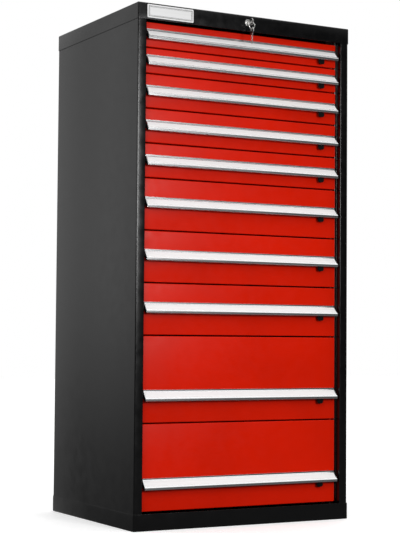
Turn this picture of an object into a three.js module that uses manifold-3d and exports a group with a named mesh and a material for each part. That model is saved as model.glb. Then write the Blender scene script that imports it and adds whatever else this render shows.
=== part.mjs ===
// Ten-drawer modular tool cabinet, standing on its base pan.
// Millimetres, +Z up, front towards -Y. The origin is the centre of the base pan's underside.

import * as THREE from 'three';
import { mergeVertices } from 'three/addons/utils/BufferGeometryUtils.js';
import Module from 'manifold-3d';

const wasm = await Module();
wasm.setup();

// ---------------------------------------------------------------- driving dimensions

const WIDTH = 726;
const DEPTH = 565;
const HEIGHT = 1500;
const SHEET = 1.2; // gauge of the cabinet's panels
const FIT = 0.3; // gap left between pieces that touch
const CUT = 1; // how far a cutting tool runs past the face it opens

const CAP_FLANGE = 47.5;
const BASE_FLANGE = 48;
const CORNER_R = 3; // fold radius, outside, of the cap, the base and the posts

const POST_FACE = 27.3; // width of each front post
const POST_RETURN = 24;
const POST_LIP = 10;
const REAR_RETURN = 20;

const PITCHES = [75, 75, 100, 100, 100, 150, 150, 150, 250, 250]; // top to bottom
const STACK_BOTTOM = 50.5;
const REVEAL = 4; // gap between two drawer fronts
const FRONT_WIDTH = 656;
const FRONT_RECESS = 20; // drawer front behind the cap's front
const FRONT_DEPTH = 18;

const TRAY_WIDTH = 645;
const TRAY_DEPTH = 499;
const TRAY_FLOOR = 5; // height of the tray's floor over the drawer's bottom line
const TRAY_HEADROOM = 15; // pitch less the height of the tray's rim
const RUNNER_Z = 22;
const RUNNER_REACH = 7;
const RUNNER_START = 9; // runner behind the tray's front wall
const LUG_Z = 42;
const LUG_HALF_HEIGHT = 4;

const RAIL_HALF_HEIGHT = 10;
const RAIL_SHEET = 1.5;
const RAIL_GAP = 2; // side gap between a tray and its rail's flanges
const RAIL_DEPTH = 8;
const RAIL_START = 50.5; // behind the cap's front
const RAIL_LENGTH = 494;
const UPRIGHT_WIDTH = 30;

const HANDLE_WALL = 1.6;
const HANDLE_REACH = 19.2; // nose in front of the drawer front
const HANDLE_LIP = 4; // sheet turned back under the nose
const HANDLE_FLANGE = [12, 32.6]; // heights over the lip of the flange flat on the drawer front
const HANDLE_FACE = [4.9, 27]; // heights over the lip of the sloping face's two ends
const HANDLE_RISE = { 75: 21.7, 100: 33.9, 150: 62.9, 250: 62.9 }; // lip over the bottom line

const LATCH_X = 269.5;
const LATCH_WIDTH = 21;
const LATCH_DROP = 13.7; // tab below the handle's lip
const LATCH_BAR = [5, 11]; // heights over the lip of the bar that slides inside the handle
const LATCH_STANDOFF = 8.5;
const LATCH_THICK = 3;

const LOCK_Z = 1478;
const LOCK_THREAD_R = 8.6; // threaded barrel of the lock's housing
const LOCK_RIM_R = 10;
const LOCK_CORE_R = 6.2;
const LOCK_BOSS_R = 3; // boss at the rear of the core, which carries the cam
const LOCK_CORE_BACK = 23.5; // rear shoulder of the core, behind the cap's front
const LOCK_PIN_X = -10;
const LOCK_PIN_R = 1.9;
const LOCK_BAR_FRONT = 26.3; // lock bar behind the cap's front
const LOCK_BAR_SHEET = 2;
const LOCK_BAR_TRAVEL = 10;
const KEY_BLADE_HALF = 3.6;
const KEY_THICK = 2.2;
const KEY_HOLE_R = 3.2;
const KEY_EYE = 43.2; // from a key's tip to the middle of the hole in its bow
const KEY_RING_R = 9.6;
const KEY_RING_WIRE = 0.9;

const PLATE_X = [-333.5, -183.5];
const PLATE_Z = [1457, 1495.5];
const PLATE_THICK = 0.8;

const FRONT_Y = -DEPTH / 2;
const BACK_Y = DEPTH / 2;
const BODY_X = WIDTH / 2 - SHEET - FIT; // outer face of a side panel
const BODY_FRONT_Y = FRONT_Y + SHEET + FIT;
const BODY_BACK_Y = BACK_Y - SHEET - FIT;
const BODY_BOTTOM_Z = SHEET + FIT;
const BODY_TOP_Z = HEIGHT - SHEET - FIT;
const DRAWER_Y = FRONT_Y + FRONT_RECESS; // outer face of the drawer fronts
const TRAY_FRONT_Y = DRAWER_Y + FRONT_DEPTH + FIT;
const KEY_RING_Y = FRONT_Y - 24.4;
const KEY_RING_Z = LOCK_Z - KEY_HOLE_R + KEY_RING_WIRE + FIT - KEY_RING_R;

// ---------------------------------------------------------------- materials

function paint(color, roughness, metalness) {
  return () => new THREE.MeshStandardMaterial({ color, roughness, metalness });
}

const blackPaint = paint(0x24262a, 0.5, 0.1);
const redPaint = paint(0xc8170f, 0.4, 0.05);
const aluminium = paint(0xdcdedf, 0.35, 0.8);
const blackPlastic = paint(0x0c0d0e, 0.5, 0);
const zincSteel = paint(0x9ba0a3, 0.4, 0.8);
const nickel = paint(0xc4c7c9, 0.25, 0.95);
const plateWhite = paint(0xf2f2f0, 0.3, 0);

// ---------------------------------------------------------------- solid helpers

function solid(geometry) {
  const bare = geometry.clone();
  bare.deleteAttribute('normal');
  bare.deleteAttribute('uv');
  const merged = mergeVertices(bare);
  return new wasm.Manifold(new wasm.Mesh({
    numProp: 3,
    vertProperties: new Float32Array(merged.attributes.position.array),
    triVerts: new Uint32Array(merged.index.array),
  }));
}

function toGeometry(manifold) {
  const { vertProperties, triVerts } = manifold.getMesh();
  const geometry = new THREE.BufferGeometry();
  geometry.setAttribute('position', new THREE.BufferAttribute(new Float32Array(vertProperties), 3));
  geometry.setIndex(new THREE.BufferAttribute(new Uint32Array(triVerts), 1));
  geometry.computeVertexNormals();
  return geometry;
}

function piece(name, manifold, material) {
  const mesh = new THREE.Mesh(toGeometry(manifold), material());
  mesh.name = name;
  return mesh;
}

function join(...manifolds) {
  return manifolds.reduce((all, next) => all.add(next));
}

function block([x0, x1], [y0, y1], [z0, z1]) {
  const geometry = new THREE.BoxGeometry(x1 - x0, y1 - y0, z1 - z0);
  geometry.translate((x0 + x1) / 2, (y0 + y1) / 2, (z0 + z1) / 2);
  return solid(geometry);
}

function extrude(shape, depth, curveSegments = 4) {
  return new THREE.ExtrudeGeometry(shape, { depth, curveSegments, bevelEnabled: false });
}

// Shape in the XY plane, extruded up from z0 to z1.
function extrudeZ(shape, [z0, z1], curveSegments) {
  return solid(extrude(shape, z1 - z0, curveSegments).translate(0, 0, z0));
}

// Shape in the XZ plane, extruded from y0 to y1.
function extrudeY(shape, [y0, y1], curveSegments) {
  return solid(extrude(shape, y1 - y0, curveSegments).rotateX(Math.PI / 2).translate(0, y1, 0));
}

// Shape in the YZ plane, extruded from x0 to x1.
function extrudeX(shape, [x0, x1], curveSegments) {
  const turn = new THREE.Matrix4().makeBasis(
    new THREE.Vector3(0, 1, 0), new THREE.Vector3(0, 0, 1), new THREE.Vector3(1, 0, 0),
  );
  return solid(extrude(shape, x1 - x0, curveSegments).applyMatrix4(turn).translate(x0, 0, 0));
}

// Solid of revolution about the Y direction, from a closed profile of [radius, y] points.
function lathe(profile, [x, z], segments = 32) {
  const points = profile.map(([r, y]) => new THREE.Vector2(r, y));
  if (THREE.ShapeUtils.isClockWise(points)) points.reverse(); // keeps the faces pointing out
  points.push(points[0]);
  return solid(new THREE.LatheGeometry(points, segments).translate(x, 0, z));
}

function rod(radius, [y0, y1], [x, z], segments) {
  return lathe([[0, y0], [radius, y0], [radius, y1], [0, y1]], [x, z], segments);
}

function roundedRect([x0, x1], [y0, y1], r) {
  const shape = new THREE.Shape();
  shape.moveTo(x0 + r, y0);
  shape.lineTo(x1 - r, y0);
  shape.absarc(x1 - r, y0 + r, r, -Math.PI / 2, 0);
  shape.lineTo(x1, y1 - r);
  shape.absarc(x1 - r, y1 - r, r, 0, Math.PI / 2);
  shape.lineTo(x0 + r, y1);
  shape.absarc(x0 + r, y1 - r, r, Math.PI / 2, Math.PI);
  shape.lineTo(x0, y0 + r);
  shape.absarc(x0 + r, y0 + r, r, Math.PI, Math.PI * 1.5);
  return shape;
}

// One side of a folded sheet: the path's corners, each rounded about its own fold centre.
function offsetPath(path, side, radii, steps) {
  const points = [];
  const along = (a, b) => new THREE.Vector2().subVectors(b, a).normalize();
  const left = (d) => new THREE.Vector2(-d.y, d.x);
  const last = path.length - 1;
  path.forEach((corner, i) => {
    if (i === 0 || i === last) {
      const d = i === 0 ? along(path[0], path[1]) : along(path[last - 1], path[last]);
      points.push(corner.clone().addScaledVector(left(d), side));
      return;
    }
    const before = along(path[i - 1], corner);
    const after = along(corner, path[i + 1]);
    const turn = before.cross(after) > 0 ? 1 : -1;
    const angle = Math.acos(THREE.MathUtils.clamp(before.dot(after), -1, 1));
    const radius = radii[i - 1];
    const setback = radius * Math.tan(angle / 2);
    const centre = corner.clone().addScaledVector(before, -setback)
      .addScaledVector(left(before), turn * radius);
    const spoke = left(before).multiplyScalar(-turn * radius + side);
    for (let k = 0; k <= steps; k += 1) {
      const swung = spoke.clone().rotateAround(new THREE.Vector2(), turn * angle * (k / steps));
      points.push(centre.clone().add(swung));
    }
  });
  return points;
}

// Outline of a sheet of one thickness folded along a centre line, with a fold radius per corner.
function foldedSheet(corners, thickness, radii, steps = 3) {
  const path = corners.map(([x, y]) => new THREE.Vector2(x, y));
  const outer = offsetPath(path, thickness / 2, radii, steps);
  const inner = offsetPath(path, -thickness / 2, radii, steps).reverse();
  return new THREE.Shape([...outer, ...inner]);
}

function mirrorX(manifold) {
  return manifold.mirror([1, 0, 0]);
}

// ---------------------------------------------------------------- cabinet shell

// A sheet pan as wide and deep as the cabinet, with its sheet at z0 or z1.
function pan([z0, z1], sheetOnTop) {
  const half = [WIDTH / 2, DEPTH / 2];
  const outline = (inset) => roundedRect(
    [inset - half[0], half[0] - inset], [inset - half[1], half[1] - inset], CORNER_R - inset,
  );
  const hollow = sheetOnTop ? [z0 - CUT, z1 - SHEET] : [z0 + SHEET, z1 + CUT];
  return extrudeZ(outline(0), [z0, z1]).subtract(extrudeZ(outline(SHEET), hollow));
}

function topCap() {
  const lockHole = rod(LOCK_THREAD_R + FIT, [FRONT_Y - CUT, FRONT_Y + SHEET + CUT], [0, LOCK_Z]);
  return pan([HEIGHT - CAP_FLANGE, HEIGHT], true).subtract(lockHole);
}

// Right side panel with its front post and rear return, as one folded sheet.
function sidePanel() {
  const half = SHEET / 2;
  const side = BODY_X - half;
  const front = BODY_FRONT_Y + half;
  const back = BODY_BACK_Y - half;
  const edge = BODY_X - POST_FACE + half;
  const sheet = foldedSheet([
    [side - REAR_RETURN, back], [side, back], [side, front], [edge, front],
    [edge, front + POST_RETURN], [edge + POST_LIP, front + POST_RETURN],
  ], SHEET, [1.4, CORNER_R, CORNER_R, 1.4]);
  return extrudeZ(sheet, [BODY_BOTTOM_Z, BODY_TOP_Z]);
}

function backPanel() {
  const half = BODY_X - SHEET - FIT;
  const outer = BODY_BACK_Y - SHEET - FIT;
  return block([-half, half], [outer - SHEET, outer], [BODY_BOTTOM_Z + FIT, BODY_TOP_Z - FIT]);
}

// ---------------------------------------------------------------- drawer stack

// Height of each drawer's bottom line, top drawer first.
function bottomLines() {
  const stack = PITCHES.reduce((sum, pitch) => sum + pitch, 0);
  let line = STACK_BOTTOM + stack;
  return PITCHES.map((pitch) => {
    line -= pitch;
    return line;
  });
}

// Right rail rack: two channel uprights with a drawer rail for each tray.
function railRack() {
  const wall = BODY_X - SHEET - FIT;
  const flangeTip = TRAY_WIDTH / 2 + RAIL_GAP;
  const web = flangeTip + RAIL_DEPTH;
  const start = FRONT_Y + RAIL_START;
  const end = start + RAIL_LENGTH;
  const half = RAIL_SHEET / 2;
  const upright = (y0, y1) => extrudeZ(foldedSheet([
    [web - RAIL_SHEET / 3, y0 + half], [wall - half, y0 + half],
    [wall - half, y1 - half], [web - RAIL_SHEET / 3, y1 - half],
  ], RAIL_SHEET, [1.5, 1.5], 2), [BODY_BOTTOM_Z + FIT, BODY_TOP_Z - FIT]);
  const rails = bottomLines().map((line) => {
    const top = line + RUNNER_Z + RAIL_HALF_HEIGHT - half;
    const bottom = line + RUNNER_Z - RAIL_HALF_HEIGHT + half;
    const channel = foldedSheet([
      [flangeTip, top], [web - half, top], [web - half, bottom], [flangeTip, bottom],
    ], RAIL_SHEET, [1.5, 1.5], 2);
    return extrudeY(channel, [start, end]);
  });
  return join(upright(start, start + UPRIGHT_WIDTH), upright(end - UPRIGHT_WIDTH, end), ...rails);
}

// Drawer front: a shallow pan, open at the back, standing on the drawer's bottom line.
function drawerFront(pitch) {
  const half = FRONT_WIDTH / 2;
  const low = REVEAL / 2;
  const high = pitch - REVEAL / 2;
  const back = DRAWER_Y + FRONT_DEPTH;
  const outer = roundedRect([-half, half], [low, high], CORNER_R);
  const inner = roundedRect(
    [SHEET - half, half - SHEET], [low + SHEET, high - SHEET], CORNER_R - SHEET,
  );
  return extrudeY(outer, [DRAWER_Y, back], 3)
    .subtract(extrudeY(inner, [DRAWER_Y + SHEET, back + CUT], 3));
}

// Tray with a rolled rim, a runner along each side and the lug that the lock bar catches.
function drawerTray(pitch) {
  const half = TRAY_WIDTH / 2;
  const back = TRAY_FRONT_Y + TRAY_DEPTH;
  const rim = pitch - TRAY_HEADROOM;
  const rimWidth = 3;
  const shell = block([-half, half], [TRAY_FRONT_Y, back], [TRAY_FLOOR, rim])
    .subtract(block(
      [SHEET - half, half - SHEET], [TRAY_FRONT_Y + SHEET, back - SHEET],
      [TRAY_FLOOR + SHEET, rim - rimWidth],
    ))
    .subtract(block(
      [rimWidth - half, half - rimWidth], [TRAY_FRONT_Y + rimWidth, back - rimWidth],
      [rim - rimWidth - CUT, rim + CUT],
    ));
  const root = half - SHEET / 2; // the runners and the lug are joined on inside the wall's sheet
  const reach = half + RUNNER_REACH;
  const runnerY = [TRAY_FRONT_Y + RUNNER_START, back - 5];
  const runnerZ = [RUNNER_Z - 1, RUNNER_Z + 1];
  const lug = block(
    [root, reach], [runnerY[0], runnerY[0] + 5], [LUG_Z - LUG_HALF_HEIGHT, LUG_Z + LUG_HALF_HEIGHT],
  );
  return join(
    shell, block([root, reach], runnerY, runnerZ), block([-reach, -root], runnerY, runnerZ), lug,
  );
}

// Pull handle: a flange flat on the drawer front, a face sloping out and down from it, and a
// nose turned back to a lip. Heights are over the underside of that lip.
function handle() {
  const at = (standoff, height) => [DRAWER_Y - standoff, height];
  const half = HANDLE_WALL / 2;
  const span = [-FRONT_WIDTH / 2, FRONT_WIDTH / 2];
  const nose = HANDLE_REACH - half;
  const [faceBottom, faceTop] = HANDLE_FACE;
  const face = foldedSheet([
    at(FIT + half, faceTop), at(nose - half, faceBottom), at(nose, half), at(HANDLE_REACH - HANDLE_LIP, half),
  ], HANDLE_WALL, [3, 1], 2);
  const flange = block(span, [DRAWER_Y - FIT - HANDLE_WALL, DRAWER_Y - FIT], HANDLE_FLANGE);
  return join(flange, extrudeX(face, span));
}

// Latch slider inside the handle, with the thumb tab that hangs below it.
function latch() {
  const front = DRAWER_Y - LATCH_STANDOFF - LATCH_THICK;
  const left = LATCH_X - LATCH_WIDTH / 2;
  const right = LATCH_X + LATCH_WIDTH / 2;
  const tip = 4; // chamfer at the tab's lower corners
  const [barBottom, barTop] = LATCH_BAR;
  const barEnd = FRONT_WIDTH / 2 - 6;
  const outline = new THREE.Shape([
    [left, barTop], [left, tip - LATCH_DROP], [left + tip, -LATCH_DROP],
    [right - tip, -LATCH_DROP], [right, tip - LATCH_DROP], [right, barBottom],
    [barEnd, barBottom], [barEnd, barTop],
  ].map(([x, z]) => new THREE.Vector2(x, z)));
  return extrudeY(outline, [front, front + LATCH_THICK]);
}

// ---------------------------------------------------------------- lock

function lockHousing() {
  const bore = LOCK_CORE_R + FIT;
  const face = FRONT_Y - 2.8;
  const seat = FRONT_Y - FIT;
  const rear = FRONT_Y + 22.5;
  return lathe([
    [bore, face], [bore, rear], [LOCK_THREAD_R, rear], [LOCK_THREAD_R, seat],
    [LOCK_RIM_R, seat], [LOCK_RIM_R, face],
  ], [0, LOCK_Z]);
}

function lockNut() {
  const cornerR = 13.5;
  const thickness = 3.5;
  const front = FRONT_Y + SHEET + FIT;
  const corners = Array.from({ length: 6 }, (_, i) => {
    const angle = (i * Math.PI) / 3;
    return new THREE.Vector2(cornerR * Math.cos(angle), LOCK_Z + cornerR * Math.sin(angle));
  });
  const bore = rod(LOCK_THREAD_R + FIT, [front - CUT, front + thickness + CUT], [0, LOCK_Z]);
  return extrudeY(new THREE.Shape(corners), [front, front + thickness]).subtract(bore);
}

function lockPlug() {
  const face = FRONT_Y - 2.5;
  const shoulder = FRONT_Y + LOCK_CORE_BACK;
  const bossEnd = shoulder + 2.1;
  const keyDepth = 22;
  const slotX = KEY_THICK / 2 + 0.2;
  const slotZ = KEY_BLADE_HALF + 0.7;
  const body = lathe([
    [0, face], [0, bossEnd], [LOCK_BOSS_R, bossEnd], [LOCK_BOSS_R, shoulder],
    [LOCK_CORE_R, shoulder], [LOCK_CORE_R, face],
  ], [0, LOCK_Z]);
  const keyway = block(
    [-slotX, slotX], [face - CUT, face + keyDepth], [LOCK_Z - slotZ, LOCK_Z + slotZ],
  );
  return body.subtract(keyway);
}

// Cam on the core's rear boss, with the pin that lifts the lock bar.
function lockCam() {
  const front = FRONT_Y + LOCK_CORE_BACK + FIT;
  const back = front + 2;
  const pinReach = 4.5;
  const arm = roundedRect([-14, 7], [LOCK_Z - 5, LOCK_Z + 5], 4);
  const bore = rod(LOCK_BOSS_R + FIT, [front - CUT, back + CUT], [0, LOCK_Z], 20);
  const pin = rod(LOCK_PIN_R, [back - CUT, back + pinReach], [LOCK_PIN_X, LOCK_Z], 16);
  return join(extrudeY(arm, [front, back]).subtract(bore), pin);
}

// Lock bar: a slotted head behind the cam and a strip down the right side, with a hook per drawer.
function lockBar() {
  const front = FRONT_Y + LOCK_BAR_FRONT;
  const back = front + LOCK_BAR_SHEET;
  const inner = TRAY_WIDTH / 2 + RUNNER_REACH + 0.8;
  const outer = inner + LOCK_BAR_SHEET;
  const headHalf = 7;
  const slotHalf = LOCK_PIN_R + 2.4;
  const slotPlay = 2.5; // slot past the pin at each end of its swing
  const hookDepth = 4;
  const hookBack = TRAY_FRONT_Y + 5.2;
  const head = block([-16, outer], [front, back], [LOCK_Z - headHalf, LOCK_Z + headHalf]);
  const slot = block(
    [LOCK_PIN_X - slotPlay, slotPlay], [front - CUT, back + CUT], [LOCK_Z - slotHalf, LOCK_Z + slotHalf],
  );
  const strip = block([inner, outer], [front, hookBack], [STACK_BOTTOM + 11.5, LOCK_Z + headHalf]);
  const hooks = bottomLines().map((line) => {
    const middle = line + LUG_Z - LOCK_BAR_TRAVEL;
    return block(
      [TRAY_WIDTH / 2 + 1, inner + 0.5], [hookBack - hookDepth, hookBack],
      [middle - LUG_HALF_HEIGHT, middle + LUG_HALF_HEIGHT],
    );
  });
  return join(head.subtract(slot), strip, ...hooks);
}

// Key with its tip at the origin, its blade up the Y direction and a round bow at the far end.
function keyOutline() {
  const blade = KEY_BLADE_HALF;
  const tip = 2; // half width and length of the pointed tip
  const bow = 10.5;
  const shoulder = 26;
  const length = shoulder + 24;
  const neck = 4.6;
  const bowCentre = length - bow;
  const meet = Math.asin(neck / bow);
  const shape = new THREE.Shape();
  shape.moveTo(-tip, 0);
  shape.lineTo(tip, 0);
  shape.lineTo(blade, tip);
  shape.lineTo(blade, shoulder);
  shape.lineTo(neck, shoulder);
  shape.absarc(0, bowCentre, bow, meet - Math.PI / 2, Math.PI * 1.5 - meet);
  shape.lineTo(-neck, shoulder);
  shape.lineTo(-blade, shoulder);
  shape.lineTo(-blade, tip);
  const hole = new THREE.Path();
  hole.absarc(0, KEY_EYE, KEY_HOLE_R, 0, Math.PI * 2, true);
  shape.holes.push(hole);
  return shape;
}

// Key pushed home in the plug: its outline lies in the YZ plane with the bow towards the front.
function key() {
  const flat = extrude(keyOutline(), KEY_THICK, 8).translate(0, 0, -KEY_THICK / 2);
  const turn = new THREE.Matrix4().makeBasis(
    new THREE.Vector3(0, 0, 1), new THREE.Vector3(0, -1, 0), new THREE.Vector3(1, 0, 0),
  );
  return solid(flat.applyMatrix4(turn).translate(0, KEY_RING_Y + KEY_EYE, LOCK_Z));
}

function keyRing() {
  const wire = new THREE.TorusGeometry(KEY_RING_R, KEY_RING_WIRE, 8, 28).rotateX(Math.PI / 2);
  return solid(wire.translate(0, KEY_RING_Y, KEY_RING_Z));
}

// Spare key hanging from the ring by its bow, tip down.
function spareKey() {
  const flat = extrude(keyOutline(), KEY_THICK, 8).translate(0, 0, -KEY_THICK / 2);
  const turn = new THREE.Matrix4().makeBasis(
    new THREE.Vector3(0, 1, 0), new THREE.Vector3(0, 0, 1), new THREE.Vector3(1, 0, 0),
  );
  const eye = KEY_RING_Z - KEY_RING_R - KEY_HOLE_R + KEY_RING_WIRE + FIT;
  return solid(flat.applyMatrix4(turn).translate(0, KEY_RING_Y, eye - KEY_EYE));
}

function nameplate() {
  const back = FRONT_Y - FIT;
  const outline = roundedRect(PLATE_X, PLATE_Z, CORNER_R);
  return extrudeY(outline, [back - PLATE_THICK, back], 4);
}

// ---------------------------------------------------------------- assembly

function cabinet() {
  const group = new THREE.Group();
  group.add(
    piece('top_cap', topCap(), blackPaint),
    piece('base_pan', pan([0, BASE_FLANGE], false), blackPaint),
    piece('side_panel_right', sidePanel(), blackPaint),
    piece('side_panel_left', mirrorX(sidePanel()), blackPaint),
    piece('back_panel', backPanel(), blackPaint),
    piece('rail_rack_right', railRack(), zincSteel),
    piece('rail_rack_left', mirrorX(railRack()), zincSteel),
    piece('nameplate', nameplate(), plateWhite),
  );
  return group;
}

function drawer(pitch, index) {
  const number = String(index + 1).padStart(2, '0');
  const group = new THREE.Group();
  const pull = new THREE.Group();
  pull.position.z = HANDLE_RISE[pitch];
  pull.add(
    piece(`handle_${number}`, handle(), aluminium),
    piece(`latch_${number}`, latch(), blackPlastic),
  );
  group.add(
    piece(`drawer_front_${number}`, drawerFront(pitch), redPaint),
    piece(`drawer_tray_${number}`, drawerTray(pitch), redPaint),
    pull,
  );
  group.position.z = bottomLines()[index];
  return group;
}

function lock() {
  const group = new THREE.Group();
  group.add(
    piece('lock_housing', lockHousing(), nickel),
    piece('lock_nut', lockNut(), zincSteel),
    piece('lock_plug', lockPlug(), nickel),
    piece('lock_cam', lockCam(), zincSteel),
    piece('lock_bar', lockBar(), zincSteel),
    piece('key', key(), nickel),
    piece('key_ring', keyRing(), nickel),
    piece('spare_key', spareKey(), nickel),
  );
  return group;
}

const assembly = new THREE.Group();
assembly.add(cabinet(), ...PITCHES.map(drawer), lock());

export default assembly;
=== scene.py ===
"""Looks of the ten-drawer tool cabinet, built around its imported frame. Metres, +Z up, front towards -Y."""

import math

import bmesh
import bpy
from mathutils import Matrix, Vector


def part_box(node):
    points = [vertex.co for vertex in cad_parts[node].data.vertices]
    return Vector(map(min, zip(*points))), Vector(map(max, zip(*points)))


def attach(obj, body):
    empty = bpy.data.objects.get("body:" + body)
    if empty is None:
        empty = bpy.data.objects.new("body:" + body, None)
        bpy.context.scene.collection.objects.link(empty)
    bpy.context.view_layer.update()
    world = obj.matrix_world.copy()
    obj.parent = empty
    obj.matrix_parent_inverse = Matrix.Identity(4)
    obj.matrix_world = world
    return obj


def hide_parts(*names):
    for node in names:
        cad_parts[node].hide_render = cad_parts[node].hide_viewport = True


MM = 0.001

# ---------------------------------------------------------------- sizes the frame doesn't hold

SHEET = 1.2 * MM  # gauge of the painted sheet steel
FOLD = 3 * MM  # outside radius of the cabinet's folds
FRONT_FOLD = 2 * MM  # outside radius of a drawer front's folds
POST_RETURN = 24 * MM
POST_LIP = 10 * MM
REAR_RETURN = 20 * MM
RUNNER_REACH = 7 * MM
TRAY_FLOOR = 5 * MM  # a tray's underside over its drawer's bottom line
RUNNER_HEIGHT = 22 * MM  # a runner's middle over the same line
HEM_WIDTH = 3 * MM
HEM_DROP = 8 * MM
SLOT_PITCH = 17 * MM  # partition slots in the trays' walls
SLOT_WIDTH = 2.4 * MM
SLOT_HEIGHT = 18 * MM
SLOT_ROW = 46 * MM
SLOTS_CLEAR = 6 * MM  # from a runner's middle up to the lowest slots
ROLLER_RADIUS = 3.4 * MM
ROLLER_WIDTH = 4 * MM
RUNNER_THICKNESS = 1.5 * MM
LUG = (38 * MM, 46 * MM)  # heights of the lock's lug over its drawer's bottom line
RIVETS = 9  # down each rear return
RIVET_EDGE = 11 * MM  # from the cabinet's side
RIVET_END = 60 * MM  # from the end of the back panel

HANDLE_WALL = 1.6 * MM
HANDLE_PATH = [(0.8, 28.3), (18.1, 7), (18.1, 0.8), (14.9, 0.8)]  # middle of the face, nose and lip, in mm
HANDLE_FOLDS = [1.1 * MM, 1 * MM]  # fold radii between face and nose, and between nose and lip
HANDLE_FLANGE = (12 * MM, 32.6 * MM)  # heights of a handle's flange over its lip
HANDLE_CROTCH = 26.3 * MM  # height at which the face leaves the flange, on the inside
HANDLE_FILLET = 2 * MM  # between the flange and the sloping face
HANDLE_TAPER = 1.5 * MM  # how much shorter a handle is at the flange than at the nose, each end
CHANNEL = (3.2 * MM, 23 * MM)  # label channel between two ribs, from the top of the sloping face
CHANNEL_DEPTH = 0.6 * MM
LABEL_MARGIN = 4 * MM  # bare metal outside each end of a handle's label strip
END_CAP = 1.6 * MM
TAB_WIDTH = 21 * MM
TAB_CHAMFER = 4 * MM
TAB_RIBS = 5
TAB_RIB_RISE = 0.6 * MM

LOCK_HOLE = 9 * MM  # radius
KEY_THICKNESS = 2.2 * MM
PLATE_LINES = [(4.2 * MM, 1.2 * MM), (7.2 * MM, 0.6 * MM)]  # inset and width of the nameplate's border lines

DRAWERS = [f"{k:02d}" for k in range(1, 11)]

WALL_LEFT = (0.71, 0.42)  # brightness of the backdrop's left part, from its far left inwards
WALL_FOOT = 0.17  # brightness of that part's foot, relative to the rest of it
CEILING = (0.38, 1.25)  # brightness of the ceiling at its edge and overhead
UNDERFOOT = 0.04  # brightness straight down, relative to the wall's
FOREGROUND = 0.09  # brightness of the ground in front, as the cabinet mirrors it
AIM = (0, 0, 0.8)  # what the soft lights point at
FLOOR_REACH = 14
SOFTBOXES = [  # name, bearing to the right of straight ahead in degrees, distance, height, size, watts
    ("main", 7, 4.3, 1.5, (0.7, 1.2), 71),
    ("left", -45, 2.2, 1.3, (0.8, 0.8), 9),
]

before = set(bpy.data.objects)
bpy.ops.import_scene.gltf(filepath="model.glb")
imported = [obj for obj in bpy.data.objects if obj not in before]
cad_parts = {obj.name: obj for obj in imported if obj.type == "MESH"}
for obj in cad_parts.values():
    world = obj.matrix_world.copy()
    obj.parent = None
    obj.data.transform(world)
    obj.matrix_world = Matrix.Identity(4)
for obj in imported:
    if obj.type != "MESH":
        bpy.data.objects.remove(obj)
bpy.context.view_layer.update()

# ---------------------------------------------------------------- outlines


def arc(centre, radius, start, end, steps):
    """Points along a circular arc between two angles in degrees."""
    angles = [math.radians(start + (end - start) * k / steps) for k in range(steps + 1)]
    return [(centre[0] + radius * math.cos(a), centre[1] + radius * math.sin(a)) for a in angles]


def quarter(steps):
    """Angles in radians from 0 to a right angle."""
    return [math.radians(90 * k / steps) for k in range(steps + 1)]


def rounded_rectangle(low, high, radius, steps=5):
    (u0, v0), (u1, v1) = low, high
    r = max(radius, 0.05 * MM)
    return (
        arc((u1 - r, v0 + r), r, -90, 0, steps)
        + arc((u1 - r, v1 - r), r, 0, 90, steps)
        + arc((u0 + r, v1 - r), r, 90, 180, steps)
        + arc((u0 + r, v0 + r), r, 180, 270, steps)
    )


def fold_side(path, offset, radii, steps):
    """One side of a folded sheet: the centre line moved sideways, with its corners rounded."""
    points = []
    for i, corner in enumerate(path):
        before = (corner - path[i - 1]).normalized() if i else None
        after = (path[i + 1] - corner).normalized() if i < len(path) - 1 else None
        if before is None or after is None:
            along = after if before is None else before
            points.append(corner + Vector((-along.y, along.x)) * offset)
            continue
        turn = 1 if before.x * after.y - before.y * after.x > 0 else -1
        angle = math.acos(max(-1.0, min(1.0, before.dot(after))))
        radius = radii[i - 1]
        left = Vector((-before.y, before.x))
        centre = corner - before * (radius * math.tan(angle / 2)) + left * (turn * radius)
        spoke = left * (offset - turn * radius)
        for k in range(steps + 1):
            points.append(centre + Matrix.Rotation(turn * angle * k / steps, 2) @ spoke)
    return points


def folded_sheet(corners, thickness, radii, steps=6):
    """Outline of a sheet folded along a centre line, with a fold radius for each inner corner."""
    path = [Vector(c) for c in corners]
    outer = fold_side(path, thickness / 2, radii, steps)
    inner = fold_side(path, -thickness / 2, radii, steps)
    return [tuple(p) for p in outer + inner[::-1]]


# ---------------------------------------------------------------- solids


def upright(u, v, w):
    return (u, v, w)


def facing_front(u, v, w):
    return (u, w, v)


def along_x(u, v, w):
    return (w, u, v)


def loft(bm, loops, ring=False):
    """Skin through loops of the same number of points, closed by two end faces or round on itself."""
    rows = [[bm.verts.new(p) for p in loop] for loop in loops]
    pairs = list(zip(rows, rows[1:])) + ([(rows[-1], rows[0])] if ring else [])
    for a, b in pairs:
        for k in range(len(a)):
            m = (k + 1) % len(a)
            bm.faces.new((a[k], a[m], b[m], b[k]))
    if not ring:
        bm.faces.new(rows[0][::-1])
        bm.faces.new(rows[-1])


def prism(bm, outline, w0, w1, place):
    loft(bm, [[place(u, v, w) for u, v in outline] for w in (w0, w1)])


def block(bm, low, high):
    outline = [(low[0], low[1]), (high[0], low[1]), (high[0], high[1]), (low[0], high[1])]
    prism(bm, outline, low[2], high[2], upright)


def lathe(bm, profile, centre, place=facing_front, segments=48, ring=False):
    """Turned solid about the w direction, through (radius, w) points off the axis."""
    loops = []
    for radius, w in profile:
        turn = [2 * math.pi * k / segments for k in range(segments)]
        loops.append(
            [place(centre[0] + radius * math.cos(a), centre[1] + radius * math.sin(a), w) for a in turn]
        )
    loft(bm, loops, ring)


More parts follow.
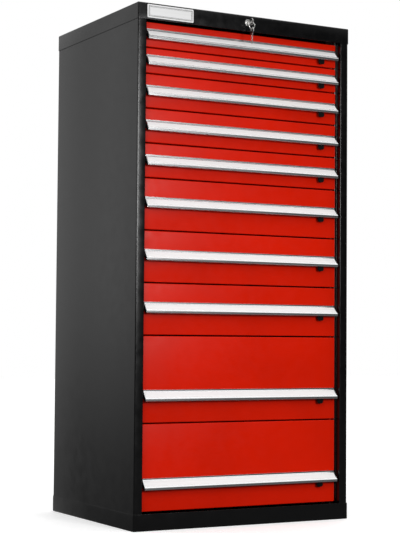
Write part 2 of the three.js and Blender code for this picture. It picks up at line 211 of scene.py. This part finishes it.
def pan(bm, low, high, edge, sheet, fold, corner, place, thickness=SHEET, steps=4):
    """Pan of folded sheet: flat at w = sheet, with walls that end at w = edge."""
    toward = 1 if edge > sheet else -1
    inner_fold = fold - thickness
    inside = [
        (thickness + inner_fold * (1 - math.cos(a)), sheet + toward * (fold - inner_fold * math.sin(a)))
        for a in quarter(steps)[::-1]
    ]
    outside = [
        (fold * (1 - math.cos(a)), sheet + toward * fold * (1 - math.sin(a))) for a in quarter(steps)
    ]
    stations = inside + [(thickness, edge), (0, edge)] + outside
    loops = []
    for inset, w in stations:
        outline = rounded_rectangle(
            (low[0] + inset, low[1] + inset), (high[0] - inset, high[1] - inset), corner - inset
        )
        loops.append([place(u, v, w) for u, v in outline])
    loft(bm, loops)


# ---------------------------------------------------------------- finishes


class Finish:
    """A material whose colour, roughness and bump come from a few procedural layers."""

    def __init__(self, name, colour, roughness, metallic=0.0, **constants):
        self.material = bpy.data.materials.new(name)
        self.material.use_nodes = True
        self.nodes = self.material.node_tree.nodes
        self.links = self.material.node_tree.links
        self.shader = self.nodes["Principled BSDF"]
        self.colour = colour
        self.shader.inputs["Metallic"].default_value = metallic
        self.shader.inputs["Roughness"].default_value = roughness
        for socket, value in constants.items():
            self.shader.inputs[socket.replace("_", " ")].default_value = value
        self.place = self.nodes.new("ShaderNodeTexCoord").outputs["Object"]

    def noise(self, scale, stretch=(1, 1, 1), detail=3.0):
        mapping = self.nodes.new("ShaderNodeMapping")
        mapping.inputs["Scale"].default_value = stretch
        texture = self.nodes.new("ShaderNodeTexNoise")
        texture.inputs["Scale"].default_value = scale
        texture.inputs["Detail"].default_value = detail
        self.links.new(self.place, mapping.inputs["Vector"])
        self.links.new(mapping.outputs["Vector"], texture.inputs["Vector"])
        return texture.outputs["Fac"]

    def cells(self, scale):
        texture = self.nodes.new("ShaderNodeTexVoronoi")
        texture.inputs["Scale"].default_value = scale
        self.links.new(self.place, texture.inputs["Vector"])
        return texture.outputs["Color"]

    def spread(self, factor, low, high):
        """A factor around 0.5, stretched to the range from low to high."""
        node = self.nodes.new("ShaderNodeMapRange")
        node.inputs["From Min"].default_value = 0.3
        node.inputs["From Max"].default_value = 0.7
        node.inputs["To Min"].default_value = low
        node.inputs["To Max"].default_value = high
        self.links.new(factor, node.inputs["Value"])
        return node.outputs["Result"]

    def tint(self, factor, low, high):
        """Base colour between low and high times the finish's own colour."""
        node = self.nodes.new("ShaderNodeMix")
        node.data_type = "RGBA"
        node.inputs["A"].default_value = (*[c * low for c in self.colour], 1)
        node.inputs["B"].default_value = (*[min(1, c * high) for c in self.colour], 1)
        self.links.new(self.spread(factor, 0, 1), node.inputs["Factor"])
        self.links.new(node.outputs["Result"], self.shader.inputs["Base Color"])

    def gloss(self, factor, low, high):
        self.links.new(self.spread(factor, low, high), self.shader.inputs["Roughness"])

    def bump(self, factor, height, strength=1.0):
        node = self.nodes.new("ShaderNodeBump")
        node.inputs["Distance"].default_value = height
        node.inputs["Strength"].default_value = strength
        self.links.new(factor, node.inputs["Height"])
        previous = self.shader.inputs["Normal"].links
        if previous:
            self.links.new(previous[0].from_socket, node.inputs["Normal"])
        self.links.new(node.outputs["Normal"], self.shader.inputs["Normal"])


def powder_coat(name, colour, low, high, specular=0.5):
    finish = Finish(name, colour, (low + high) / 2, Specular_IOR_Level=specular)
    finish.tint(finish.noise(4, detail=4), 0.93, 1.07)
    finish.gloss(finish.noise(35), low, high)
    finish.bump(finish.noise(420, detail=1), 0.05 * MM, 0.25)
    finish.bump(finish.noise(9, detail=0), 0.5 * MM, 0.15)
    return finish.material


def satin_aluminium():
    finish = Finish("aluminium", (0.86, 0.87, 0.88), 0.24, 1.0)
    finish.tint(finish.noise(40, (0.05, 18, 18)), 0.94, 1.04)
    finish.gloss(finish.noise(60, (0.04, 14, 14)), 0.18, 0.28)
    finish.bump(finish.noise(60, (0.04, 30, 30)), 0.02 * MM, 0.4)
    return finish.material


def label_card():
    finish = Finish("plate_white", (0.9, 0.9, 0.9), 0.35, Coat_Weight=0.3, Coat_Roughness=0.12)
    finish.tint(finish.noise(12, (0.1, 20, 20)), 0.96, 1.03)
    finish.gloss(finish.noise(50), 0.3, 0.42)
    finish.bump(finish.noise(20, (0.05, 12, 12)), 0.03 * MM, 0.3)
    return finish.material


def moulded_black():
    finish = Finish("black_plastic", (0.003, 0.003, 0.0031), 0.6, Specular_IOR_Level=0.12)
    finish.tint(finish.noise(30), 0.85, 1.2)
    finish.gloss(finish.noise(180), 0.5, 0.66)
    finish.bump(finish.noise(1500, detail=1), 0.03 * MM, 0.5)
    return finish.material


def zinc_plate():
    finish = Finish("zinc_steel", (0.56, 0.57, 0.57), 0.38, 1.0)
    finish.tint(finish.cells(120), 0.85, 1.1)
    finish.gloss(finish.noise(90), 0.3, 0.48)
    finish.bump(finish.noise(260), 0.03 * MM, 0.3)
    return finish.material


def nickel_plate():
    finish = Finish("nickel", (0.74, 0.73, 0.71), 0.2, 1.0)
    finish.tint(finish.noise(80), 0.92, 1.05)
    finish.gloss(finish.noise(140), 0.22, 0.34)
    finish.bump(finish.noise(500, (1, 4, 1)), 0.015 * MM, 0.3)
    return finish.material


FINISHES = {
    "black_paint": powder_coat("black_paint", (0.0035, 0.0035, 0.0037), 0.17, 0.24),
    "red_paint": powder_coat("red_paint", (0.74, 0.0125, 0.001), 0.3, 0.42, specular=0.12),
    "aluminium": satin_aluminium(),
    "plate_white": label_card(),
    "black_plastic": moulded_black(),
    "zinc_steel": zinc_plate(),
    "nickel": nickel_plate(),
}

# ---------------------------------------------------------------- pieces


def piece(name, bm, slot, body, stands_for=(), bevel=0.3 * MM, cutter=None):
    """Turns a finished bmesh into a piece that rides on a body and takes one of the record's finishes."""
    bmesh.ops.recalc_face_normals(bm, faces=bm.faces)
    mesh = bpy.data.meshes.new(name)
    bm.to_mesh(mesh)
    bm.free()
    obj = bpy.data.objects.new(name, mesh)
    bpy.context.scene.collection.objects.link(obj)
    if cutter is not None:
        cut_away(obj, cutter)
    dress(obj, slot, bevel)
    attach(obj, body)
    if stands_for:
        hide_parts(*stands_for)
    return obj


def cut_away(obj, cutter_bm):
    """Cuts one bmesh's solids out of an object's mesh."""
    bmesh.ops.recalc_face_normals(cutter_bm, faces=cutter_bm.faces)
    tool_mesh = bpy.data.meshes.new("cutter")
    cutter_bm.to_mesh(tool_mesh)
    cutter_bm.free()
    tool = bpy.data.objects.new("cutter", tool_mesh)
    bpy.context.scene.collection.objects.link(tool)
    cut = obj.modifiers.new("cut", "BOOLEAN")
    cut.operation = "DIFFERENCE"
    cut.solver = "EXACT"
    cut.object = tool
    bpy.context.view_layer.update()
    evaluated = obj.evaluated_get(bpy.context.evaluated_depsgraph_get())
    mesh = bpy.data.meshes.new_from_object(evaluated)
    obj.modifiers.clear()
    mesh.name = obj.name
    obj.data = mesh
    bpy.data.objects.remove(tool)


def dress(obj, slot, bevel):
    """Smooth shading with softened edges, and the finish of a material slot."""
    obj.data.materials.clear()
    obj.data.materials.append(FINISHES[slot])
    obj.data.shade_smooth()
    obj.data.set_sharp_from_angle(angle=math.radians(30))
    if bevel:
        edge = obj.modifiers.new("edges", "BEVEL")
        edge.width = bevel
        edge.segments = 2
        edge.limit_method = "ANGLE"
        edge.angle_limit = math.radians(40)
        edge.harden_normals = True


def keep_cad(node, slot):
    """Shows a CAD node as it is, with softened edges and a finish."""
    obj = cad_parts[node]
    weld = obj.modifiers.new("weld", "WELD")
    weld.merge_threshold = 0.005 * MM
    dress(obj, slot, 0.25 * MM)


# ---------------------------------------------------------------- cabinet


def shell_pan(node, sheet_on_top):
    low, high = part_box(node)
    edge, sheet = (low.z, high.z) if sheet_on_top else (high.z, low.z)
    bm = bmesh.new()
    pan(bm, low.xy, high.xy, edge, sheet, FOLD, FOLD, upright)
    return bm


def top_cap():
    housing_low, housing_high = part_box("lock_housing")
    centre = ((housing_low.x + housing_high.x) / 2, (housing_low.z + housing_high.z) / 2)
    cutter = bmesh.new()
    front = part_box("top_cap")[0].y
    lathe(cutter, [(LOCK_HOLE, front - 5 * MM), (LOCK_HOLE, front + 5 * MM)], centre)
    piece("top_cap_shell", shell_pan("top_cap", True), "black_paint", "cabinet", ["top_cap"], cutter=cutter)


def base_pan():
    piece("base_pan_shell", shell_pan("base_pan", False), "black_paint", "cabinet", ["base_pan"])


def side_panel(hand):
    """Side panel with its front post and rear return. hand is 1 for the right and -1 for the left."""
    side = "right" if hand > 0 else "left"
    low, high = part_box(f"side_panel_{side}")
    half = SHEET / 2
    outer = (high.x if hand > 0 else -low.x) - half
    edge = (low.x if hand > 0 else -high.x) + half
    front, back = low.y + half, high.y - half
    section = folded_sheet(
        [
            (outer - REAR_RETURN, back), (outer, back), (outer, front), (edge, front),
            (edge, front + POST_RETURN), (edge + POST_LIP, front + POST_RETURN),
        ],
        SHEET, [1.4 * MM, FOLD, 1.4 * MM, 1.4 * MM],
    )
    bm = bmesh.new()
    prism(bm, [(hand * u, v) for u, v in section], low.z, high.z, upright)
    piece(f"side_panel_{side}_sheet", bm, "black_paint", "cabinet", [f"side_panel_{side}"])


def rivet(bm, centre, face, radius=2.4 * MM, rise=1.0 * MM):
    """Domed rivet head standing out behind a face at y = face."""
    dome = [(radius * math.cos(a), face + rise * math.sin(a)) for a in quarter(4)[:-1]]
    lathe(bm, [(radius, face - 0.3 * MM)] + dome, centre, segments=16)


def rear_rivets():
    """Rivets down both rear returns, holding the back panel."""
    low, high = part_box("back_panel")
    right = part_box("side_panel_right")[1]
    bm = bmesh.new()
    for hand in (-1, 1):
        for k in range(RIVETS):
            height = low.z + RIVET_END + (high.z - low.z - 2 * RIVET_END) * k / (RIVETS - 1)
            rivet(bm, (hand * (right.x - RIVET_EDGE), height), right.y)
    piece("rear_rivets", bm, "black_paint", "cabinet", bevel=0)


def rail_rollers(hand):
    """Roller at the front of each rail, under the runner of its tray."""
    side = "right" if hand > 0 else "left"
    bm = bmesh.new()
    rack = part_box("rail_rack_right")[0]
    for number in DRAWERS:
        tray_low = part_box(f"drawer_tray_{number}")[0]
        line = tray_low.z - TRAY_FLOOR
        centre = (rack.y + 8 * MM, line + RUNNER_HEIGHT - 1 * MM - ROLLER_RADIUS - 0.2 * MM)
        inner = rack.x + 1.5 * MM
        roller(bm, centre, hand, inner)
    piece(f"rail_rollers_{side}", bm, "black_plastic", "cabinet", bevel=0)


def roller(bm, centre, hand, inner):
    """Small grooved wheel about the X direction, from x = inner outwards."""
    r, width = ROLLER_RADIUS, ROLLER_WIDTH
    profile = [
        (r * 0.35, 0), (r * 0.35, 0.3 * MM), (r * 0.75, 0.3 * MM), (r * 0.8, 0), (r * 0.94, 0),
        (r, 0.3 * MM), (r, width - 0.3 * MM), (r * 0.94, width),
    ]
    lathe(bm, [(q, hand * (inner + w)) for q, w in profile], centre, place=along_x, segments=24)


def cabinet():
    top_cap()
    base_pan()
    for hand in (1, -1):
        side_panel(hand)
        rail_rollers(hand)
    keep_cad("back_panel", "black_paint")
    keep_cad("rail_rack_right", "zinc_steel")
    keep_cad("rail_rack_left", "zinc_steel")
    rear_rivets()


# ---------------------------------------------------------------- drawers


def drawer_front(number):
    low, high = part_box(f"drawer_front_{number}")
    bm = bmesh.new()
    pan(bm, (low.x, low.z), (high.x, high.z), high.y, low.y, FRONT_FOLD, FOLD, facing_front)
    piece(f"front_{number}", bm, "red_paint", f"drawer_{number}", [f"drawer_front_{number}"])


def tray_stations(bottom, rim):
    """Section of a tray's wall as (inset, height), from the floor's underside, over the hem, to its top."""
    fold, hem = 2 * MM, HEM_WIDTH / 2
    outside = [(fold * (1 - math.sin(a)), bottom + fold * (1 - math.cos(a))) for a in quarter(4)]
    top = [(hem * (1 - math.cos(2 * a)), rim - hem * (1 - math.sin(2 * a))) for a in quarter(8)]
    inside_hem = [
        (HEM_WIDTH, rim - HEM_DROP), (HEM_WIDTH - SHEET, rim - HEM_DROP),
        (HEM_WIDTH - SHEET, rim - 1.7 * MM), (SHEET, rim - 1.7 * MM),
    ]
    inner = fold - SHEET
    floor = [
        (SHEET + inner * (1 - math.cos(a)), bottom + fold - inner * math.sin(a)) for a in quarter(4)
    ]
    return outside + top + inside_hem + floor


def partition_slots(low, high, floor, rim):
    """Cutters for the rows of partition slots through a tray's side walls and its rear wall."""
    bm = bmesh.new()
    rows = max(1, round((rim - floor - 14 * MM) / SLOT_ROW))
    gap = (rim - HEM_DROP - floor) / rows
    columns = int((high.y - low.y - 40 * MM) / SLOT_PITCH)
    across = int((high.x - low.x - 60 * MM) / SLOT_PITCH)
    for row in range(rows):
        z0 = floor + gap * (row + 0.5) - SLOT_HEIGHT / 2
        z1 = z0 + SLOT_HEIGHT
        for k in range(columns + 1):
            y = (low.y + high.y) / 2 + (k - columns / 2) * SLOT_PITCH
            for x in (low.x, high.x):
                block(bm, (x - 3 * MM, y - SLOT_WIDTH / 2, z0), (x + 3 * MM, y + SLOT_WIDTH / 2, z1))
        for k in range(across + 1):
            x = (low.x + high.x) / 2 + (k - across / 2) * SLOT_PITCH
            block(bm, (x - SLOT_WIDTH / 2, high.y - 3 * MM, z0), (x + SLOT_WIDTH / 2, high.y + 3 * MM, z1))
    return bm


def tray(number):
    low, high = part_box(f"drawer_tray_{number}")
    line = low.z - TRAY_FLOOR
    low, high = low.copy(), high.copy()
    low.x += RUNNER_REACH
    high.x -= RUNNER_REACH
    corner = 3.5 * MM
    bm = bmesh.new()
    loops = []
    for inset, height in tray_stations(low.z, high.z):
        outline = rounded_rectangle(
            (low.x + inset, low.y + inset), (high.x - inset, high.y - inset), corner - inset
        )
        loops.append([(u, v, height) for u, v in outline])
    loft(bm, loops)
    cutter = partition_slots(low, high, line + RUNNER_HEIGHT + SLOTS_CLEAR, high.z)
    piece(
        f"tray_{number}", bm, "red_paint", f"drawer_{number}", [f"drawer_tray_{number}"],
        bevel=0, cutter=cutter,
    )
    runners(number, low, high, line)


def runners(number, low, high, line):
    """Runner strip along each side of a tray, a roller at its rear end and the lock's lug on the right."""
    start, end = low.y + 9 * MM, high.y - 5 * MM
    level = line + RUNNER_HEIGHT
    half = RUNNER_THICKNESS / 2
    bm = bmesh.new()
    rollers = bmesh.new()
    for hand in (-1, 1):
        wall = hand * high.x
        strip = folded_sheet(
            [
                (wall + hand * half, level - 9 * MM), (wall + hand * half, level),
                (wall + hand * RUNNER_REACH, level),
            ],
            RUNNER_THICKNESS, [1.2 * MM],
        )
        loft(bm, [[(u, y, v) for u, v in strip] for y in (start, end)])
        centre = (end - ROLLER_RADIUS - 1 * MM, level + 1 * MM + ROLLER_RADIUS)
        roller(rollers, centre, hand, high.x + 2.5 * MM)
    block(
        bm, (high.x, start, line + LUG[0]), (high.x + RUNNER_REACH, start + 5 * MM, line + LUG[1])
    )
    piece(f"runners_{number}", bm, "zinc_steel", f"drawer_{number}")
    piece(f"tray_rollers_{number}", rollers, "black_plastic", f"drawer_{number}", bevel=0)


def handle_lines():
    """Outer side, inner side, and the run and outward directions, of a handle's face, nose and lip.

    Points are (standoff, height), from the back of the flange and the underside of the lip.
    """
    half = HANDLE_WALL / 2
    path = [Vector(p) * MM for p in HANDLE_PATH]
    outer = fold_side(path, half, HANDLE_FOLDS, 5)
    inner = fold_side(path, -half, HANDLE_FOLDS, 5)
    along = (path[1] - path[0]).normalized()
    return outer, inner, along, Vector((-along.y, along.x))


def handle_section():
    """Section of a pull handle: flat flange, sloping face with a channel between two ribs, nose and lip."""
    outer, inner, along, out = handle_lines()
    bottom, top = HANDLE_FLANGE
    channel = [
        outer[0] + along * t - out * n
        for t, n in (
            (CHANNEL[0], 0), (CHANNEL[0], CHANNEL_DEPTH), (CHANNEL[1], CHANNEL_DEPTH), (CHANNEL[1], 0),
        )
    ]
    corner = outer[0] + along * ((HANDLE_WALL - outer[0].x) / along.x)
    turn = math.degrees(math.atan2(along.x, -along.y))
    reach = HANDLE_FILLET * math.tan(math.radians(turn / 2))
    centre = (HANDLE_WALL + HANDLE_FILLET, corner.y + reach)
    fillet = [Vector(p) for p in arc(centre, HANDLE_FILLET, 180, 180 + turn, 6)]
    flange_top = [Vector((0, top)), Vector((HANDLE_WALL, top)), *fillet]
    flange_foot = [Vector((HANDLE_WALL, HANDLE_CROTCH)), Vector((HANDLE_WALL, bottom)), Vector((0, bottom))]
    return flange_top + channel + outer[1:] + inner[:0:-1] + flange_foot


def handle_end(low, high, hand, inset, points):
    """A handle's section placed at one end, a little shorter at the flange than at the nose."""
    tip = high.x if hand > 0 else low.x
    slope = HANDLE_TAPER / HANDLE_FLANGE[1]
    return [(tip - hand * (inset + slope * p.y), high.y - p.x, low.z + p.y) for p in points]


def handle(number):
    low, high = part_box(f"handle_{number}")
    body = f"drawer_{number}"
    section = handle_section()
    bm = bmesh.new()
    loft(bm, [handle_end(low, high, hand, END_CAP, section) for hand in (-1, 1)])
    piece(f"pull_{number}", bm, "aluminium", body, [f"handle_{number}"], bevel=0.2 * MM)
    label(number, low, high, body)
    end_caps(number, low, high, body)


def label(number, low, high, body):
    """Blank label strip lying in the channel of a handle's sloping face."""
    outer, _, along, out = handle_lines()
    play = 0.15 * MM
    section = [
        outer[0] + along * t - out * n
        for t, n in (
            (CHANNEL[0] + play, 0.1 * MM), (CHANNEL[1] - play, 0.1 * MM),
            (CHANNEL[1] - play, CHANNEL_DEPTH), (CHANNEL[0] + play, CHANNEL_DEPTH),
        )
    ]
    bm = bmesh.new()
    loft(bm, [handle_end(low, high, hand, LABEL_MARGIN, section) for hand in (-1, 1)])
    piece(f"label_{number}", bm, "plate_white", body, bevel=0.1 * MM)


def end_caps(number, low, high, body):
    """Black plug that closes each end of a handle."""
    outer = handle_lines()[0]
    bottom, top = HANDLE_FLANGE
    outline = [Vector((0, bottom)), Vector((0, top)), Vector((HANDLE_WALL, top)), *outer]
    bm = bmesh.new()
    for hand in (-1, 1):
        loft(bm, [handle_end(low, high, hand, inset, outline) for inset in (0, END_CAP)])
    piece(f"end_caps_{number}", bm, "black_plastic", body)


def latch(number):
    """Thumb tab with a ribbed grip, on the slider that runs inside the handle."""
    low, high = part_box(f"latch_{number}")
    right = low.x + TAB_WIDTH
    bar_low = high.z - 6 * MM
    outline = [
        (low.x, high.z), (low.x, low.z + TAB_CHAMFER), (low.x + TAB_CHAMFER, low.z),
        (right - TAB_CHAMFER, low.z), (right, low.z + TAB_CHAMFER), (right, bar_low),
        (high.x, bar_low), (high.x, high.z),
    ]
    bm = bmesh.new()
    prism(bm, outline, low.y + TAB_RIB_RISE, high.y, facing_front)
    for k in range(TAB_RIBS):
        x = low.x + TAB_WIDTH * (k + 0.5) / TAB_RIBS
        rib_low = low.z + (3.5 if k in (0, TAB_RIBS - 1) else 1.5) * MM
        outline = rounded_rectangle((x - 1 * MM, rib_low), (x + 1 * MM, low.z + 15 * MM), 0.9 * MM, 3)
        prism(bm, outline, low.y, low.y + TAB_RIB_RISE + 0.2 * MM, facing_front)
    piece(f"thumb_latch_{number}", bm, "black_plastic", f"latch_{number}", [f"latch_{number}"])


def drawer(number):
    drawer_front(number)
    tray(number)
    handle(number)
    latch(number)


# ---------------------------------------------------------------- lock and nameplate


def lock_housing():
    low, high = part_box("lock_housing")
    centre = ((low.x + high.x) / 2, (low.z + high.z) / 2)
    rim, bore, barrel = 10 * MM, 6.5 * MM, 8.6 * MM
    seat = low.y + 2.5 * MM
    crown = [(rim - 1.2 * MM * (1 - math.sin(a)), low.y + 1.2 * MM * (1 - math.cos(a))) for a in quarter(4)]
    lip = [(bore + 0.8 * MM * (1 - math.sin(a)), low.y + 0.8 * MM * (1 - math.cos(a))) for a in quarter(3)]
    profile = crown + [(rim, seat), (barrel, seat), (barrel, high.y), (bore, high.y)] + lip[::-1]
    bm = bmesh.new()
    lathe(bm, profile, centre, segments=64, ring=True)
    piece("lock_barrel", bm, "nickel", "cabinet", ["lock_housing"], bevel=0)


def key_outline():
    """Key in (across, along): cut blade from the tip, shoulders and a round bow."""
    blade, bow, shoulder, length, neck = (v * MM for v in (3.6, 10.5, 26, 50, 4.6))
    cuts = [1.1, 0.3, 1.5, 0.7, 1.8, 0.5, 1.2]
    pitch = 2.9 * MM
    edge = [(-blade + 1.6 * MM, 0), (blade - 1.6 * MM, 0), (blade, 2 * MM)]
    for k, depth in enumerate(cuts):
        y = 3 * MM + pitch * k
        edge += [(blade, y), (blade - depth * MM, y + 0.9 * MM), (blade - depth * MM, y + 1.9 * MM)]
    edge += [(blade, 3 * MM + pitch * len(cuts)), (blade, shoulder), (neck, shoulder)]
    meet = math.degrees(math.asin(neck / bow))
    edge += arc((0, length - bow), bow, meet - 90, 270 - meet, 40)
    return edge + [(-neck, shoulder), (-blade, shoulder), (-blade, 2 * MM)]


def key_cutters(place):
    """The eye, a shallow round panel on each side of the bow and a milled groove along the blade."""
    eye, eye_radius, bow_middle = 43.2 * MM, 3.2 * MM, 39.5 * MM
    half, clear = KEY_THICKNESS / 2, 2 * KEY_THICKNESS
    bm = bmesh.new()
    lathe(bm, [(eye_radius, -clear), (eye_radius, clear)], (0, eye), place, 32)
    for side in (-1, 1):
        panel = sorted((side * (half - 0.35 * MM), side * KEY_THICKNESS))
        groove = sorted((side * (half - 0.5 * MM), side * KEY_THICKNESS))
        outline = arc((0, bow_middle), 8.3 * MM, 0, 352.5, 47)
        prism(bm, outline, panel[0], panel[1], place)
        strip = [(-1.6 * MM, -1 * MM), (-0.5 * MM, -1 * MM), (-0.5 * MM, 24 * MM), (-1.6 * MM, 24 * MM)]
        prism(bm, strip, groove[0], groove[1], place)
    return bm


def key_piece(name, place, body, node):
    bm = bmesh.new()
    prism(bm, key_outline(), -KEY_THICKNESS / 2, KEY_THICKNESS / 2, place)
    piece(name, bm, "nickel", body, [node], bevel=0.25 * MM, cutter=key_cutters(place))


def key_in_lock():
    low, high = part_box("key")
    middle = (low.z + high.z) / 2
    place = lambda u, v, w: (w, high.y - v, middle + u)
    key_piece("key_pushed_home", place, "lock_core", "key")


def spare_key():
    low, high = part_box("spare_key")
    middle = (low.y + high.y) / 2
    place = lambda u, v, w: (w, middle + u, low.z + v)
    key_piece("key_hanging", place, "spare_key", "spare_key")


def key_ring():
    """Split ring of flat-lapped wire: two turns of a thin wire side by side."""
    low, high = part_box("key_ring")
    centre = ((low.x + high.x) / 2, (low.z + high.z) / 2)
    wire = (high.y - low.y) / 4
    middle = (low.y + high.y) / 2
    radius = (high.x - low.x) / 2 - 2 * wire
    bm = bmesh.new()
    for side in (-1, 1):
        section = arc((radius, middle + side * wire * 0.98), wire, 0, 330, 11)
        section = [(radius + (q - radius) * 1.8, w) for q, w in section]
        lathe(bm, section, centre, segments=72, ring=True)
    piece("split_ring", bm, "nickel", "key_ring", ["key_ring"], bevel=0)


def nameplate():
    """Blank plate with a thin double border."""
    low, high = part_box("nameplate")
    outline = rounded_rectangle((low.x, low.z), (high.x, high.z), 3 * MM, 8)
    bm = bmesh.new()
    prism(bm, outline, low.y, high.y, facing_front)
    piece("blank_plate", bm, "plate_white", "cabinet", ["nameplate"], bevel=0.2 * MM)
    lines = bmesh.new()
    for inset, width in PLATE_LINES:
        ring = []
        for shift, depth in ((0, -0.05), (width, -0.05), (width, 0.2), (0, 0.2)):
            d = inset + shift
            outline = rounded_rectangle((low.x + d, low.z + d), (high.x - d, high.z - d), 1 * MM, 8)
            ring.append([facing_front(u, v, low.y + depth * MM) for u, v in outline])
        loft(lines, ring, ring=True)
    piece("plate_border", lines, "black_plastic", "cabinet", bevel=0)


def lock():
    lock_housing()
    for node in ("lock_nut", "lock_cam", "lock_bar"):
        keep_cad(node, "zinc_steel")
    keep_cad("lock_plug", "nickel")
    key_in_lock()
    spare_key()
    key_ring()


# ---------------------------------------------------------------- camera, floor and light


def camera():
    """Camera at 4.5 m, 29 degrees round to the left and a little over knee height, looking slightly up."""
    yaw, pitch, roll = (math.radians(a) for a in (29.064, 2.861, 0.444))
    forward = Vector((math.sin(yaw) * math.cos(pitch), math.cos(yaw) * math.cos(pitch), math.sin(pitch)))
    level = Vector((math.cos(yaw), -math.sin(yaw), 0))
    above = level.cross(forward)
    right = level * math.cos(roll) + above * math.sin(roll)
    up = above * math.cos(roll) - level * math.sin(roll)
    data = bpy.data.cameras.new("camera")
    data.lens = 98.6
    obj = bpy.data.objects.new("camera", data)
    obj.matrix_world = Matrix.Translation((-2.201, -3.9634, 0.5398)) @ Matrix(
        (right, up, -forward)
    ).transposed().to_4x4()
    bpy.context.scene.collection.objects.link(obj)
    bpy.context.scene.camera = obj


def floor():
    bm = bmesh.new()
    corners = ((-1, -1), (1, -1), (1, 1), (-1, 1))
    bm.faces.new([bm.verts.new((x * FLOOR_REACH, y * FLOOR_REACH, 0)) for x, y in corners])
    mesh = bpy.data.meshes.new("floor")
    bm.to_mesh(mesh)
    bm.free()
    obj = bpy.data.objects.new("floor", mesh)
    bpy.context.scene.collection.objects.link(obj)
    pale = Finish("floor_paint", (0.9, 0.9, 0.9), 0.7, Emission_Color=(1, 1, 1, 1), Emission_Strength=0.28)
    pale.tint(pale.noise(3), 0.99, 1.01)
    obj.data.materials.append(pale.material)
    obj.visible_diffuse = False  # the floor throws no light up at the cabinet
    obj.visible_glossy = False


def softbox(name, place, target, size, power):
    """Area light that lights and mirrors in the cabinet, and isn't seen itself."""
    data = bpy.data.lights.new(name, "AREA")
    data.shape = "RECTANGLE"
    data.size, data.size_y = size
    data.energy = power
    obj = bpy.data.objects.new(name, data)
    obj.location = place
    obj.rotation_mode = "QUATERNION"
    obj.rotation_quaternion = (Vector(target) - Vector(place)).to_track_quat("-Z", "Y")
    obj.visible_camera = False
    bpy.context.scene.collection.objects.link(obj)


def backdrop():
    """White wherever it is seen itself. As a light: white behind the cabinet and overhead, dark in front.

    The ramps run over the components of the unit direction: across (+X), back (+Y) and up.
    """
    world = bpy.data.worlds.new("studio")
    bpy.context.scene.world = world
    world.use_nodes = True
    nodes, links = world.node_tree.nodes, world.node_tree.links
    direction = nodes.new("ShaderNodeSeparateXYZ")
    links.new(nodes.new("ShaderNodeTexCoord").outputs["Generated"], direction.inputs["Vector"])

    def ramp(value, start, end, low, high):
        node = nodes.new("ShaderNodeMapRange")
        node.interpolation_type = "SMOOTHSTEP"
        for socket, number in zip(("From Min", "From Max", "To Min", "To Max"), (start, end, low, high)):
            node.inputs[socket].default_value = number
        links.new(value, node.inputs["Value"])
        return node.outputs["Result"]

    def combine(operation, *values):
        node = nodes.new("ShaderNodeMath")
        node.operation = operation
        for socket, value in zip(node.inputs, values):
            if isinstance(value, float):
                socket.default_value = value
            else:
                links.new(value, socket)
        return node.outputs["Value"]

    across, back, up = (direction.outputs[axis] for axis in "XYZ")
    left = combine("MULTIPLY", ramp(across, -0.46, -0.39, *WALL_LEFT), ramp(up, -0.12, 0.06, WALL_FOOT, 1.0))
    side = ramp(across, -0.4, 0.2, 0.0, 1.0)
    wall = combine("MULTIPLY_ADD", side, combine("SUBTRACT", 1.0, left), left)
    wall = combine("MULTIPLY", wall, ramp(back, -0.1, 0.1, 0.0, 1.0))
    wall = combine("MULTIPLY", wall, ramp(up, -0.5, -0.2, UNDERFOOT, 1.0))
    ceiling = ramp(up, 0.3, 0.9, *CEILING)
    raised = ramp(up, 0.28, 0.4, 0.0, 1.0)
    overhead = combine("MAXIMUM", ceiling, wall)
    sweep = combine("MULTIPLY_ADD", raised, combine("SUBTRACT", overhead, wall), wall)
    sweep = combine("MAXIMUM", sweep, ramp(up, -0.12, -0.02, FOREGROUND, 0.0))
    in_view = nodes.new("ShaderNodeLightPath").outputs["Is Camera Ray"]
    sweep = combine("MAXIMUM", sweep, in_view)
    nodes["Background"].inputs["Color"].default_value = (1, 1, 1, 1)
    links.new(sweep, nodes["Background"].inputs["Strength"])


def studio():
    """A soft light almost straight ahead, a closer one at the front left, and the backdrop's own light."""
    backdrop()
    for name, bearing, distance, height, size, power in SOFTBOXES:
        turn = math.radians(bearing)
        place = (distance * math.sin(turn), -distance * math.cos(turn), height)
        softbox(name, place, AIM, size, power)
    bpy.context.scene.view_settings.view_transform = "Standard"


camera()
cabinet()
for drawer_number in DRAWERS:
    drawer(drawer_number)
lock()
nameplate()
floor()
studio()
